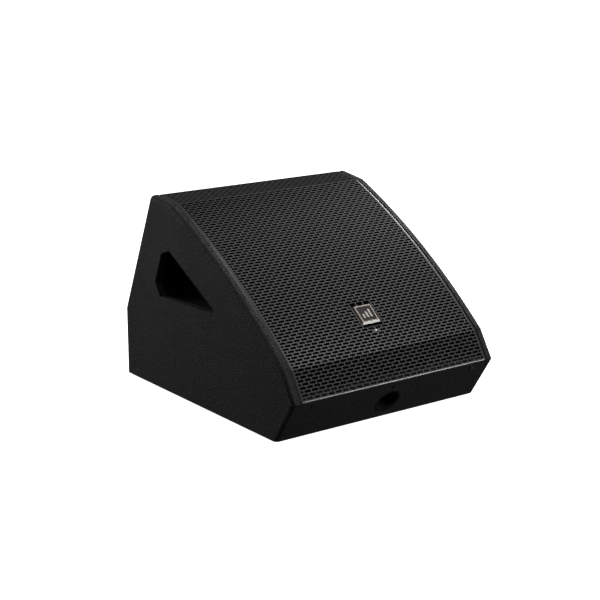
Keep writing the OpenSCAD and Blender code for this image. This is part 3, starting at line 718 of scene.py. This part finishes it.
# Thickness of the recess's walls, and how far its rim lies under the sheet's face
RECESS_T = 1.2
RIM_SUNK = 0.2
# The four bars that hang the recess from the row above it
BAR_HALF = 1.1
BAR_T = 1.2
BAR_DROP = 1.5


def flat_ring(bm, half, low, high, z):
    """Adds a rectangular ring at one height: its vertices and its edges."""
    made = [bm.verts.new((x, y, z)) for x, y in ((-half, low), (half, low), (half, high), (-half, high))]
    return made, [bm.edges.new((made[i - 1], made[i])) for i in range(4)]


def grille_recess():
    """The pressed recess behind the badge: steep walls and a flat floor, hung on slanting bars at the top."""
    bm = bmesh.new()
    low, top = BADGE_S - row_start(BADGE_ROWS[-1]) - PITCH_S, BADGE_S - row_start(BADGE_ROWS[0])
    floor_top, floor_low = BADGE_S - FLOOR_S[0], BADGE_S - FLOOR_S[1]
    rim_edges = flat_ring(bm, RECESS_X, low, floor_top + 0.8, -RIM_SUNK)[1]
    base, base_edges = flat_ring(bm, FLOOR_X, floor_low, floor_top, -RECESS_DEEP)
    bmesh.ops.bridge_loops(bm, edges=rim_edges + base_edges)
    bm.faces.new(base)
    bmesh.ops.delete(bm, geom=[f for f in bm.faces if f.calc_center_median().y > floor_top], context="FACES")
    bmesh.ops.recalc_face_normals(bm, faces=bm.faces)
    if sum(f.normal.z * f.calc_area() for f in bm.faces) < 0:
        bmesh.ops.reverse_faces(bm, faces=bm.faces)
    bmesh.ops.solidify(bm, geom=list(bm.faces), thickness=-RECESS_T)
    bmesh.ops.recalc_face_normals(bm, faces=bm.faces)
    bars = []
    for x in (-1.5, -0.5, 0.5, 1.5):
        bar = block([[-BAR_HALF, BAR_HALF], [0, 1], [-BAR_T, 0]])
        for v in bar.verts:
            at_floor = v.co.y < 0.5
            v.co = (v.co.x + x * PITCH_X, floor_top - 0.6 if at_floor else top + 0.4,
                    v.co.z - (BAR_DROP if at_floor else 0) - 0.1)
        bars.append(bevelled(bar, bar.edges, 0.25, 2))
    return new_piece("grille_recess", joined(bm, *bars), GRILLE, on_curve(BADGE_S),
                     sharp=30)


grille_recess()

# The badge sits a little to the left of the middle
BADGE = on_curve(BADGE_S) @ at(-0.6, 0)
# Rings of the bezel's section: half its width, lower side, upper side, height
BEZEL = ((17, -18, 15.9, -2.5), (17, -18, 15.9, 0.2), (15.7, -16.7, 14.8, 2.5), (13.9, -15.2, 13.1, 2.5),
         (13.4, -14.7, 12.6, 1.9), (13.4, -14.7, 12.6, -2.5))
# Section of the lip, up the slope and out, and how much wider it gets for each millimetre down
LIP = ((-16.5, 2.4), (-16.9, 2.55), (-19.9, 0), (-20, -2.1), (-17.8, -2.1))
LIP_HALF = 16
LIP_FLARE = 0.45
# Middle and top of each level bar
LEVEL_BARS = ((-7, -1.2), (0, 2.8), (7, 6.8))
LEVEL_BAR_FOOT = -8.6


def badge():
    """Square bezel whose lower side slopes out to a wide bright lip, round a plate with three level bars."""
    bezel = bmesh.new()
    rings = [flat_ring(bezel, *section)[1] for section in BEZEL]
    for near, far in zip(rings, rings[1:] + rings[:1]):
        bmesh.ops.bridge_loops(bezel, edges=near + far)
    tidy(bezel)
    new_piece("badge_bezel", bevelled(bezel, [e for e in bezel.edges if e.calc_face_angle(0) > 0.2], 0.15, 2),
              DARK_NICKEL, BADGE, replaces=["badge_frame"], sharp=25)
    lip = drawn(LIP, plane=lambda p: (-LIP_HALF, p[0], p[1]))
    stretched(lip, (2 * LIP_HALF, 0, 0))
    for v in lip.verts:
        v.co.x += math.copysign((-v.co.y - 16.8) * LIP_FLARE, v.co.x)
    new_piece("badge_lip", bevelled(lip, lip.edges, 0.12, 2), CHROME, BADGE, sharp=25)
    plate = block([[-13.6, 13.6], [-14.9, 12.8], [-2.4, 1.7]], 0.2)
    new_piece("badge_window", plate, BADGE_BLACK, BADGE, replaces=["badge_plate"])
    bars = [block([[x - 1.8, x + 1.8], [LEVEL_BAR_FOOT, high], [1.5, 2.1]], 0.25) for x, high in LEVEL_BARS]
    new_piece("badge_level_bars", joined(*bars), ENAMEL, BADGE)


badge()
pipe = lathed([(0, -6.5), (2.4, -6.5), (2.4, 0), (2.1, 0.3), (1.5, 0.35), (1.5, -0.4), (0, -0.4)], 32)
new_piece("status_light_pipe", pipe, GLOSS, on_curve(LIGHT_S), replaces=["status_light"])
core = lathed([(0, -0.3), (1.45, -0.3), (1.45, 0.2), (1, 0.42), (0, 0.48)], 32)
new_piece("status_light_core", core, WHITE_GLOW, on_curve(LIGHT_S))

# How far the foam's front and back lie behind the sheet
FOAM_GAP = 0.1
FOAM_BACK = 4.8
# How far the foam stops short of the crest and the nose, and of the sides
FOAM_TRIM = 14
FOAM_SIDE = 7.5


def foam_sheet():
    """Acoustic foam glued behind the punched sheet."""
    path = [Vector(CREST)] + [Vector(p) for p in arc] + [Vector(nose)]

    def inside(depth):
        lines = []
        for i, p in enumerate(path):
            before = (p - path[i - 1]).normalized() if i else (path[1] - p).normalized()
            after = (path[i + 1] - p).normalized() if i < len(path) - 1 else before
            lean = (before + after).normalized()
            normal = Vector((-lean.y, lean.x))
            lines.append(p + normal * depth / max(normal.dot(Vector((-after.y, after.x))), 0.5))
        lines[0] += (path[1] - path[0]).normalized() * FOAM_TRIM
        lines[-1] += (path[-2] - path[-1]).normalized() * FOAM_TRIM
        return lines

    out, deep = inside(SHEET_T + FOAM_GAP), inside(SHEET_T + FOAM_BACK)
    bm = slab([tuple(p) for p in out + deep[::-1]], -IN_W / 2 + FOAM_SIDE, IN_W / 2 - FOAM_SIDE)
    bmesh.ops.subdivide_edges(bm, edges=[e for e in bm.edges if abs((e.verts[0].co - e.verts[1].co).x) > 50],
                              cuts=60, use_grid_fill=True)
    return bm


# The foam's near-total black is painted shade behind the punched sheet
foam = new_piece("grille_foam_sheet", foam_sheet(), FOAM_PAINTED_SHADE, CABINET, replaces=["grille_foam"],
                 sharp=50)

# ---- pieces that keep their CAD shape, with their hard edges rounded ----


def softened(name, material, radius=0.3, body="cabinet", keep=None, sharp=35):
    """A merged copy of a CAD node with its hard edges rounded a little."""
    bm = bmesh.new()
    bm.from_mesh(frame["nodes"][name].data)
    moved(bm, Matrix.Scale(1000, 4))
    bmesh.ops.remove_doubles(bm, verts=bm.verts, dist=0.001)
    bmesh.ops.dissolve_limit(bm, angle_limit=math.radians(0.5), verts=bm.verts, edges=bm.edges)
    if radius:
        hard = [e for e in bm.edges if len(e.link_faces) == 2 and e.calc_face_angle(0) > math.radians(50)]
        bevelled(bm, [e for e in hard if keep is None or keep(e)], radius, 2)
    return new_piece(name + "_finished", bm, material, body=body, replaces=[name], sharp=sharp)


def away_from_sides(edge):
    """Leaves the edges that butt against the side panels square."""
    return all(abs(v.co.x) < IN_W / 2 - 1 for v in edge.verts)


for name in ("back_lower_panel", "back_upper_panel", "undercut_panel", "bottom_panel", "baffle"):
    softened(name, COAT, 0.4, keep=away_from_sides)
# Node, material, slot in the record and edge radius of the pieces that stay still
for name, material, slot, radius in (
        # The hand cups, ports and stand socket below wear the ABS that is darkened with painted shade
        ("handle_cup_left", CUP_PAINTED_SHADE, "dark_plastic", 0), ("handle_cup_right", CUP_PAINTED_SHADE, "dark_plastic", 0),
        ("port_tubes", CUP_PAINTED_SHADE, "dark_plastic", 0.8), ("grille_screws", BLACK_STEEL, "black_steel", 0.3),
        ("status_light_board", LAMINATE, "circuit", 0), ("pole_socket", CUP_PAINTED_SHADE, "dark_plastic", 0.5),
        ("pole_socket_ring", CUP_PAINTED_SHADE, "dark_plastic", 0.5), ("rubber_feet", RUBBER, "rubber", 1.2),
        ("foot_screws", ZINC, "zinc_steel", 0.3), ("basket", CAST, "cast_aluminium", 0.4),
        ("woofer_gasket", RUBBER, "rubber", 0.3), ("woofer_screws", BLACK_STEEL, "black_steel", 0.3),
        ("surround", SURROUND, "surround_cloth", 0), ("spider", PHENOLIC, "spider_cloth", 0),
        ("top_plate", STEEL, "plain_steel", 0.5), ("magnet", FERRITE, "ferrite", 1.0),
        ("back_plate", STEEL, "plain_steel", 0.6), ("hf_horn", PLASTIC, "dark_plastic", 0),
        ("hf_body", ZINC, "plain_steel", 0.5), ("hf_rim", TITANIUM, "titanium", 0),
        ("hf_cover", PLASTIC, "dark_plastic", 1.0), ("terminal_block", RED, "red_plastic", 0.5),
        ("inner_leads", RED, "red_plastic", 0), ("amp_plate", AMP_COAT, "amp_metal", 0.35),
        ("amp_screws", ZINC, "zinc_steel", 0.25), ("heatsink", AMP_COAT, "amp_metal", 0.3),
        ("circuit_board", LAMINATE, "circuit", 0), ("power_supply", TAPE, "yellow_core", 1.5),
        ("capacitors", SLEEVE, "blue_sleeve", 0.8), ("input_sockets", PLASTIC, "dark_plastic", 0.3),
        ("link_socket", PLASTIC, "dark_plastic", 0.3), ("level_pots", ZINC, "zinc_steel", 0.3),
        ("button_switches", PLASTIC, "dark_plastic", 0.3),
        ("indicator_lights", GREEN_GLOW, "green_light", 0.3),
        ("rocker_housing", PLASTIC, "dark_plastic", 0.4)):
    softened(name, material, radius)
# The same for the pieces that move, with the body that each rides on
for name, material, slot, radius, body in (
        ("cone", PAPER, "cone_paper", 0, "woofer_cone"), ("voice_coil", COPPER, "copper", 0, "woofer_cone"),
        ("hf_diaphragm", TITANIUM, "titanium", 0, "treble_diaphragm"),
        ("button_a", GLOSS, "gloss_plastic", 0.5, "button_a"),
        ("button_b", GLOSS, "gloss_plastic", 0.5, "button_b"),
        ("lift_button", GLOSS, "gloss_plastic", 0.5, "lift_button"),
        ("socket_tab_a", ZINC, "zinc_steel", 0.4, "socket_tab_a"),
        ("socket_tab_b", ZINC, "zinc_steel", 0.4, "socket_tab_b")):
    softened(name, material, radius, body)

# ---- damping pads ----


def damping_pad(size):
    """Bonded felt pad, its faces slightly uneven."""
    bm = block(size)
    bmesh.ops.subdivide_edges(bm, edges=list(bm.edges), cuts=9, use_grid_fill=True)
    bmesh.ops.smooth_vert(bm, verts=list(bm.verts), factor=0.5, use_axis_x=True, use_axis_y=True,
                          use_axis_z=True)
    return bm


BACK_PAD_T = 18
SIDE_PAD_T = 16
back_pad = [[-120, 120], [BACK_Y - WALL_T - BACK_PAD_T, BACK_Y - WALL_T], [20, 96]]
side_pads = [[x, [250, 390], [20, 130]] for x in ([-IN_W / 2, -IN_W / 2 + SIDE_PAD_T],
                                                  [IN_W / 2 - SIDE_PAD_T, IN_W / 2])]
pads = joined(*[damping_pad(size) for size in (back_pad, *side_pads)])
felt = new_piece("damping_felt", pads, FELT, CABINET, replaces=["damping_pads"], sharp=60)

# ---- rear panel ----

# Height of the amplifier plate's face over the sloping back, and its controls' places on that back
PLATE_OUT = -5.5
KNOBS = ((98, 112, "level_knob_a"), (62, 112, "level_knob_b"))
INLET = (-80, 80)
ROCKER = (-80, 122)
# Every third of the grip's steps is cut in by a share of its radius, which makes 24 flutes
FLUTE_DEGREES = 5
FLUTE_DEEP = 0.045


def knob():
    """Turned knob with a fluted grip and a dished cap; its stem runs back to the pot."""
    profile = ((0, 1.6), (8.4, 0.6), (8.5, 2), (7.5, 10.9), (6.9, 11.6), (5.6, 11.3), (0, 11.1))
    grip = lathed([(radius, PLATE_OUT + z) for radius, z in profile], 72)
    for v in grip.verts:
        step = round(math.degrees(math.atan2(v.co.y, v.co.x)) / FLUTE_DEGREES)
        if v.co.xy.length > 7 and v.co.z < PLATE_OUT + 11 and step % 3 == 0:
            v.co.xy *= 1 - FLUTE_DEEP
    return joined(grip, rod(3, -16, PLATE_OUT + 2, 32))


for x, y, body in KNOBS:
    place = BACK @ at(x, y)
    new_piece(body + "_grip", knob(), PLASTIC, place, body, replaces=[body], sharp=28)
    pointer = block([[-0.6, 0.6], [-7.3, -2.5], [PLATE_OUT + 11.2, PLATE_OUT + 11.62]], 0.15)
    new_piece(body + "_pointer", pointer, ENAMEL, place, body)

PRINT_Z = (PLATE_OUT - 0.05, PLATE_OUT + 0.12)
# Printed frames round the two input channels, the link socket and the mains inlet: across and up
FRAMES = ((44.8, 80.4, 55, 142), (81.4, 116, 55, 142), (8, 43.8, 55, 142), (-112, -48, 58, 142))
LIGHTS_Y = (104, 112, 120)


def printed(low_x, high_x, low_y, high_y):
    return block([[low_x, high_x], [low_y, high_y], list(PRINT_Z)])


def dial_marks(x, y):
    """Eleven marks round a knob, from rest to full."""
    marks = []
    for k in range(11):
        turn = math.radians(-150 + 30 * k)
        longer = 1.2 if k in (0, 5, 10) else 0
        mark = printed(-0.3, 0.3, -12.6 - longer, -10.4)
        marks.append(moved(mark, Matrix.Rotation(turn, 4, "Z"), at(x, y)))
    return marks


def ruled_box(low_x, high_x, low_y, high_y, width=0.5):
    """A printed frame round one group of controls."""
    return [printed(low_x, high_x, low_y, low_y + width), printed(low_x, high_x, high_y - width, high_y),
            printed(low_x, low_x + width, low_y, high_y), printed(high_x - width, high_x, low_y, high_y)]


marks = [m for x, y, _ in KNOBS for m in dial_marks(x, y)]
marks += [line for sides in FRAMES for line in ruled_box(*sides)]
marks += [printed(4.2, 6.4, y - 0.3, y + 0.3) for y in LIGHTS_Y]
new_piece("panel_print", joined(*marks), ENAMEL, BACK, sharp=20)

# The mains inlet's cavity, and the middle of each of its three blades
CAVITY = [[-12.2, 12.2], [-8.3, 8.3], [-21, 3]]
BLADES = ((-7, -2), (7, -2), (0, 2))
inlet_place = BACK @ at(*INLET)
flange = carved(block([[-26, 26], [-15, 15], [PLATE_OUT, PLATE_OUT + 2]], 0.6), block(CAVITY))
new_piece("mains_inlet_flange", flange, PLASTIC, inlet_place)
shroud = carved(block([[-22.5, 22.5], [-12.5, 12.5], [-34, PLATE_OUT + 0.5]], 0.5), block(CAVITY))
new_piece("mains_inlet_shroud", shroud, PLASTIC, inlet_place, replaces=["mains_inlet"])
blades = joined(*[block([[x - 1, x + 1], [y - 2, y + 2], [-22, -6.5]], 0.4) for x, y in BLADES])
new_piece("mains_blades", blades, BRASS, inlet_place)

# The rocker's half width and half height, its tilt at rest, and how deep its face is dished
ROCKER_X = 9.6
ROCKER_Y = 7.4
ROCKER_TILT = math.radians(10)
ROCKER_DISH = 0.9


def rocker():
    """Rocker cap with a dished face, in the off position."""
    cap = block([[-ROCKER_X, ROCKER_X], [-ROCKER_Y, ROCKER_Y], [0, 5.2]])
    upright = [e for e in cap.edges if abs((e.verts[0].co - e.verts[1].co).y) > 5]
    bmesh.ops.subdivide_edges(cap, edges=upright, cuts=8)
    for v in cap.verts:
        if v.co.z > 3:
            v.co.z -= ROCKER_DISH * (1 - (v.co.y / ROCKER_Y) ** 2)
    bevelled(cap, [e for e in cap.edges if e.calc_face_angle(0) > 1], 0.4, 2)
    moved(cap, Matrix.Rotation(ROCKER_TILT, 4, "X"))
    pin = moved(rod(2.4, -ROCKER_X, ROCKER_X, 32), Matrix.Rotation(math.pi / 2, 4, "Y"))
    return joined(cap, pin)


new_piece("power_rocker_cap", rocker(), GLOSS, BACK @ at(*ROCKER, PLATE_OUT - 3), "power_rocker",
          replaces=["power_rocker"])

# ---- floor and light ----

# Seamless backdrop paper: it glows evenly, so that hardly any shadow shows on it
PAPER_WHITE, white = surface("white_backdrop_paper", "#f4f4f2", 0.9)
white.inputs["Emission Color"].default_value = tint("#ffffff")
white.inputs["Emission Strength"].default_value = 1
STUDIO = 30


def backdrop(name, bm):
    """A white surface of the studio that the camera sees but the object doesn't reflect."""
    mesh = bpy.data.meshes.new(name)
    bm.to_mesh(mesh)
    bm.free()
    mesh.materials.append(PAPER_WHITE)
    obj = bpy.data.objects.new(name, mesh)
    scene.collection.objects.link(obj)
    obj.visible_glossy = obj.visible_diffuse = obj.visible_transmission = False
    return obj


ground = bmesh.new()
bmesh.ops.create_grid(ground, x_segments=1, y_segments=1, size=STUDIO)
backdrop("floor", ground)
dome = bmesh.new()
bmesh.ops.create_uvsphere(dome, u_segments=32, v_segments=16, radius=STUDIO * 0.9)
backdrop("sky_dome", dome).visible_shadow = False

# Upward direction and strength where the room's light starts and stops fading
DARK_BELOW = (-0.3, 0.05)
LIGHT_ABOVE = (0.35, 0.24)
world = bpy.data.worlds.new("studio")
scene.world = world
world.use_nodes = True
direction = node(world, "TexCoord").outputs["Generated"]
upward = node(world, "SeparateXYZ", {"Vector": direction}).outputs["Z"]
fade = node(world, "MapRange", {"Value": upward, "From Min": DARK_BELOW[0], "From Max": LIGHT_ABOVE[0],
                                "To Min": DARK_BELOW[1], "To Max": LIGHT_ABOVE[1]})
room = world.node_tree.nodes["Background"]
room.inputs["Color"].default_value = tint("#ffffff")
world.node_tree.links.new(fade.outputs["Result"], room.inputs["Strength"])


def softbox(name, place, target, width, height, power):
    """A rectangular studio light that faces a point: metres and watts."""
    lamp = bpy.data.lights.new(name, "AREA")
    lamp.shape, lamp.size, lamp.size_y, lamp.energy = "RECTANGLE", width, height, power
    obj = bpy.data.objects.new(name, lamp)
    scene.collection.objects.link(obj)
    obj.visible_camera = False
    obj.matrix_world = facing(place, Vector(place) - Vector(target))


softbox("key", (1.15, -0.08, 1.75), (0, 0, 0.2), 1.8, 0.9, 7)
softbox("fold_strip", (1.15, -0.87, 1.6), (0, -0.15, 0.15), 0.35, 0.9, 6)
softbox("rim", (2.1, 0.9, 1.1), (0.15, 0, 0.25), 0.65, 0.5, 29)
softbox("left_wall", (-1.3, 1.8, 0.8), (0, 0, 0.2), 1.3, 1.2, 26)
softbox("overhead", (-0.2, -0.1, 2.1), (0, 0, 0.2), 0.25, 1.8, 9)
softbox("low_front", (1.15, -1.65, 0.45), (0, -0.15, 0.1), 0.5, 0.14, 26)
